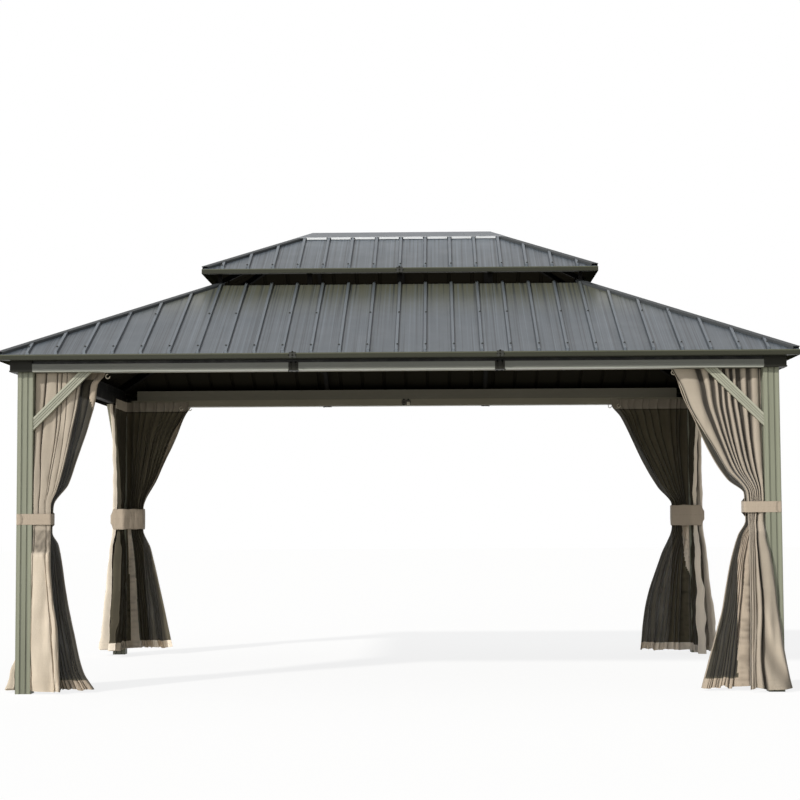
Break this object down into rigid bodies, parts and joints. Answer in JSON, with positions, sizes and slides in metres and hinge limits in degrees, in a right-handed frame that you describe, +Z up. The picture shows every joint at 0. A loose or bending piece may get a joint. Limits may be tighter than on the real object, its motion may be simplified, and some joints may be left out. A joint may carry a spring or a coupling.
{
  "type": "metal gazebo",
  "caption": "Rectangular hard-top garden gazebo with a vented double hip roof of ribbed steel on fluted posts with knee braces, and curtains and insect netting tied back.",
  "frame": {"origin": "on the ground under the middle of the roof", "axes": "+X along the long side to the right seen from the front, +Y from front to back, +Z up"},
  "size_m": [4.8844, 3.6244, 3.0874],
  "materials": {
    "roof_paint": "blue-grey satin coated steel",
    "cap_paint": "blue-grey satin coated steel",
    "fascia_paint": "dark olive-grey satin coating",
    "beam_paint": "grey satin coated aluminium",
    "frame_paint": "pale sage-grey satin coated aluminium",
    "brace_paint": "pale sage-grey satin coated aluminium",
    "inner_frame_paint": "grey satin coated aluminium",
    "rail_paint": "grey satin coated aluminium",
    "dark_casting": "near-black satin coating",
    "curtain_cloth": "taupe woven polyester",
    "netting_mesh": "dark brown fine mesh",
    "tie_cloth": "taupe woven polyester"
  },
  "bodies": {
    "root": {"back_beam": "beam_paint", "back_braces": "brace_paint", "beam_sleeves": "dark_casting", "corner_blocks": "dark_casting", "curtain_rails": "rail_paint", "curtains_back_left": "curtain_cloth", "curtains_back_right": "curtain_cloth", "curtains_front_left": "curtain_cloth", "curtains_front_right": "curtain_cloth", "fascia_clips": "dark_casting", "front_beam": "beam_paint", "front_braces": "brace_paint", "left_beam": "beam_paint", "left_braces": "brace_paint", "lower_fascia_back": "fascia_paint", "lower_fascia_front": "fascia_paint", "lower_fascia_left": "fascia_paint", "lower_fascia_right": "fascia_paint", "lower_hip_caps": "cap_paint", "lower_hip_rafters": "inner_frame_paint", "lower_rafters": "inner_frame_paint", "lower_roof_back": "roof_paint", "lower_roof_front": "roof_paint", "lower_roof_left": "roof_paint", "lower_roof_right": "roof_paint", "nettings_back_left": "netting_mesh", "nettings_back_right": "netting_mesh", "nettings_front_left": "netting_mesh", "nettings_front_right": "netting_mesh", "post_back_left": "frame_paint", "post_back_right": "frame_paint", "post_front_left": "frame_paint", "post_front_right": "frame_paint", "rail_joiners": "dark_casting", "ridge_beam": "inner_frame_paint", "ridge_cap": "cap_paint", "right_beam": "beam_paint", "right_braces": "brace_paint", "tie_band_back_left": "tie_cloth", "tie_band_back_right": "tie_cloth", "tie_band_front_left": "tie_cloth", "tie_band_front_right": "tie_cloth", "upper_fascia_back": "fascia_paint", "upper_fascia_front": "fascia_paint", "upper_fascia_left": "fascia_paint", "upper_fascia_right": "fascia_paint", "upper_hip_caps": "cap_paint", "upper_hip_rafters": "inner_frame_paint", "upper_rafters": "inner_frame_paint", "upper_roof_back": "roof_paint", "upper_roof_front": "roof_paint", "upper_roof_left": "roof_paint", "upper_roof_right": "roof_paint", "vent_frame": "inner_frame_paint", "vent_struts": "inner_frame_paint"}
  },
  "joints": []
}
